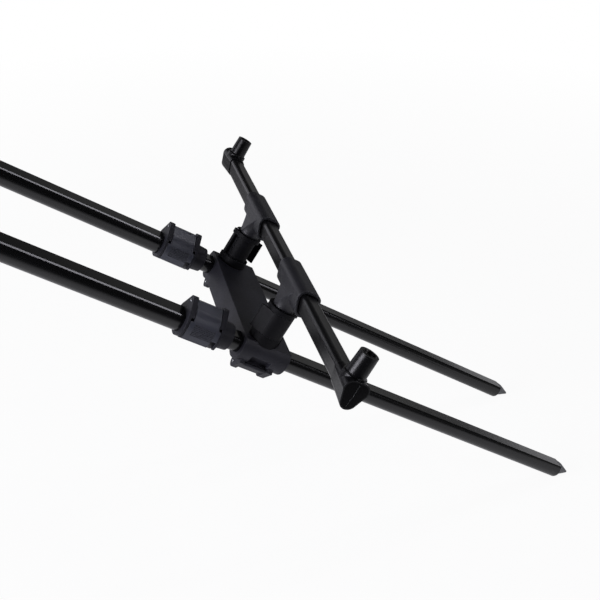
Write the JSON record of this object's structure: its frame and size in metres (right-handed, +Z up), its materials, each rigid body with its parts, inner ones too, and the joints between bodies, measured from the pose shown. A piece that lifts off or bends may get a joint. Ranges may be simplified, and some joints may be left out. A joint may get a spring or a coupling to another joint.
{
  "type": "rod pod",
  "caption": "Rod pod with telescopic spiked poles, cam-clamped sliding carriages, threaded buzz bars and splayed folding front legs, for resting fishing rods on bite alarms.",
  "frame": {"origin": "on the ground, in the middle of the box that the standing pod fills", "axes": "+Z up, +Y towards the front legs along the poles, +X across to the right"},
  "size_m": [0.4522, 1.0534, 0.6001],
  "materials": {
    "anodised": "satin black anodised extrusion",
    "spike": "turned and black anodised",
    "moulded": "finely textured black glass-filled moulding",
    "lever": "satin black moulding",
    "insert": "blackened turned brass",
    "steel": "bright stainless"
  },
  "bodies": {
    "frame": {"pole_tube_left": "anodised", "pole_tube_right": "anodised", "pole_collar_left": "moulded", "pole_collar_right": "moulded", "pole_collar_pins": "steel", "pole_head_left": "moulded", "pole_head_right": "moulded", "leg_pivot_bolts": "steel", "leg_pivot_nuts": "steel"},
    "lower_pole_left": {"pole_inner_tube_left": "anodised", "pole_spike_left": "spike"},
    "pole_collar_lever_left": {"pole_collar_lever_left": "lever"},
    "lower_pole_right": {"pole_inner_tube_right": "anodised", "pole_spike_right": "spike"},
    "pole_collar_lever_right": {"pole_collar_lever_right": "lever"},
    "rear_carriage": {"rear_block": "moulded", "rear_clamp_pins": "steel", "rear_stem_clamp_left": "moulded", "rear_stem_clamp_right": "moulded"},
    "rear_bar": {"rear_bar_tube": "anodised", "rear_tee_left": "moulded", "rear_tee_right": "moulded", "rear_bar_cap_left": "moulded", "rear_bar_cap_right": "moulded", "rear_bar_inserts": "insert"},
    "rear_block_lever_left": {"rear_block_lever_left": "lever"},
    "rear_stem_lever_left": {"rear_stem_lever_left": "lever"},
    "rear_block_lever_right": {"rear_block_lever_right": "lever"},
    "rear_stem_lever_right": {"rear_stem_lever_right": "lever"},
    "front_carriage": {"front_block": "moulded", "front_clamp_pins": "steel", "front_stem_clamp_left": "moulded", "front_stem_clamp_right": "moulded"},
    "front_bar": {"front_bar_tube": "anodised", "front_tee_left": "moulded", "front_tee_right": "moulded", "front_bar_cap_left": "moulded", "front_bar_cap_right": "moulded", "front_bar_inserts": "insert"},
    "front_block_lever_left": {"front_block_lever_left": "lever"},
    "front_stem_lever_left": {"front_stem_lever_left": "lever"},
    "front_block_lever_right": {"front_block_lever_right": "lever"},
    "front_stem_lever_right": {"front_stem_lever_right": "lever"},
    "leg_left": {"leg_head_left": "moulded", "leg_outer_tube_left": "anodised", "leg_collar_left": "moulded", "leg_pin_left": "moulded"},
    "leg_lever_left": {"leg_lever_left": "lever"},
    "lower_leg_left": {"leg_inner_tube_left": "anodised", "leg_spike_left": "spike"},
    "leg_right": {"leg_head_right": "moulded", "leg_outer_tube_right": "anodised", "leg_collar_right": "moulded", "leg_pin_right": "moulded"},
    "leg_lever_right": {"leg_lever_right": "lever"},
    "lower_leg_right": {"leg_inner_tube_right": "anodised", "leg_spike_right": "spike"}
  },
  "joints": [
    {"name": "pole_left_slide", "type": "slide", "parent": "frame", "child": "lower_pole_left", "axis": [0, 0.848, 0.5299], "range_m": [-0.08, 0.28]},
    {"name": "pole_collar_lever_left_cam", "type": "hinge", "parent": "frame", "child": "pole_collar_lever_left", "pos_m": [-0.07, -0.16796, 0.24555], "axis": [0, 0.848, 0.5299], "range_deg": [0, 100]},
    {"name": "pole_right_slide", "type": "slide", "parent": "frame", "child": "lower_pole_right", "axis": [0, 0.848, 0.5299], "range_m": [-0.08, 0.28]},
    {"name": "pole_collar_lever_right_cam", "type": "hinge", "parent": "frame", "child": "pole_collar_lever_right", "pos_m": [0.07, -0.16796, 0.24555], "axis": [0, 0.848, 0.5299], "range_deg": [0, 100]},
    {"name": "rear_carriage_slide", "type": "slide", "parent": "frame", "child": "rear_carriage", "axis": [0, 0.848, 0.5299], "range_m": [-0.2, 0.009]},
    {"name": "rear_bar_lift", "type": "slide", "parent": "rear_carriage", "child": "rear_bar", "axis": [0, -0.5299, 0.848], "range_m": [0, 0.045]},
    {"name": "rear_block_lever_left_cam", "type": "hinge", "parent": "rear_carriage", "child": "rear_block_lever_left", "pos_m": [-0.07, -0.19842, 0.18371], "axis": [0, -0.848, -0.5299], "range_deg": [0, 90]},
    {"name": "rear_stem_lever_left_cam", "type": "hinge", "parent": "rear_carriage", "child": "rear_stem_lever_left", "pos_m": [-0.07, -0.23134, 0.2162], "axis": [0, -0.5299, 0.848], "range_deg": [0, 100]},
    {"name": "rear_block_lever_right_cam", "type": "hinge", "parent": "rear_carriage", "child": "rear_block_lever_right", "pos_m": [0.07, -0.19842, 0.18371], "axis": [0, 0.848, 0.5299], "range_deg": [0, 90]},
    {"name": "rear_stem_lever_right_cam", "type": "hinge", "parent": "rear_carriage", "child": "rear_stem_lever_right", "pos_m": [0.07, -0.2098, 0.22966], "axis": [0, -0.5299, 0.848], "range_deg": [0, 100]},
    {"name": "front_carriage_slide", "type": "slide", "parent": "frame", "child": "front_carriage", "axis": [0, 0.848, 0.5299], "range_m": [-0.15, 0.025]},
    {"name": "front_bar_lift", "type": "slide", "parent": "front_carriage", "child": "front_bar", "axis": [0, -0.5299, 0.848], "range_m": [0, 0.045]},
    {"name": "front_block_lever_left_cam", "type": "hinge", "parent": "front_carriage", "child": "front_block_lever_left", "pos_m": [-0.07, 0.31041, 0.50166], "axis": [0, -0.848, -0.5299], "range_deg": [0, 90]},
    {"name": "front_stem_lever_left_cam", "type": "hinge", "parent": "front_carriage", "child": "front_stem_lever_left", "pos_m": [-0.07, 0.27749, 0.53415], "axis": [0, -0.5299, 0.848], "range_deg": [0, 100]},
    {"name": "front_block_lever_right_cam", "type": "hinge", "parent": "front_carriage", "child": "front_block_lever_right", "pos_m": [0.07, 0.31041, 0.50166], "axis": [0, 0.848, 0.5299], "range_deg": [0, 90]},
    {"name": "front_stem_lever_right_cam", "type": "hinge", "parent": "front_carriage", "child": "front_stem_lever_right", "pos_m": [0.07, 0.29903, 0.54761], "axis": [0, -0.5299, 0.848], "range_deg": [0, 100]},
    {"name": "leg_left_fold", "type": "hinge", "parent": "frame", "child": "leg_left", "pos_m": [-0.09348, 0.38276, 0.57457], "axis": [0.9781, 0.1102, -0.1763], "range_deg": [-72, 25]},
    {"name": "leg_left_slide", "type": "slide", "parent": "leg_left", "child": "lower_leg_left", "axis": [0.1977, -0.2309, 0.9527], "range_m": [-0.06, 0.17]},
    {"name": "leg_lever_left_cam", "type": "hinge", "parent": "leg_left", "child": "leg_lever_left", "pos_m": [-0.16611, 0.44232, 0.25139], "axis": [0.1977, -0.2309, 0.9527], "range_deg": [0, 100]},
    {"name": "leg_right_fold", "type": "hinge", "parent": "frame", "child": "leg_right", "pos_m": [0.09348, 0.38276, 0.57457], "axis": [0.9781, -0.1102, 0.1763], "range_deg": [-72, 25]},
    {"name": "leg_right_slide", "type": "slide", "parent": "leg_right", "child": "lower_leg_right", "axis": [-0.1977, -0.2309, 0.9527], "range_m": [-0.06, 0.17]},
    {"name": "leg_lever_right_cam", "type": "hinge", "parent": "leg_right", "child": "leg_lever_right", "pos_m": [0.16611, 0.44232, 0.25139], "axis": [0.1977, 0.2309, -0.9527], "range_deg": [0, 100]}
  ]
}
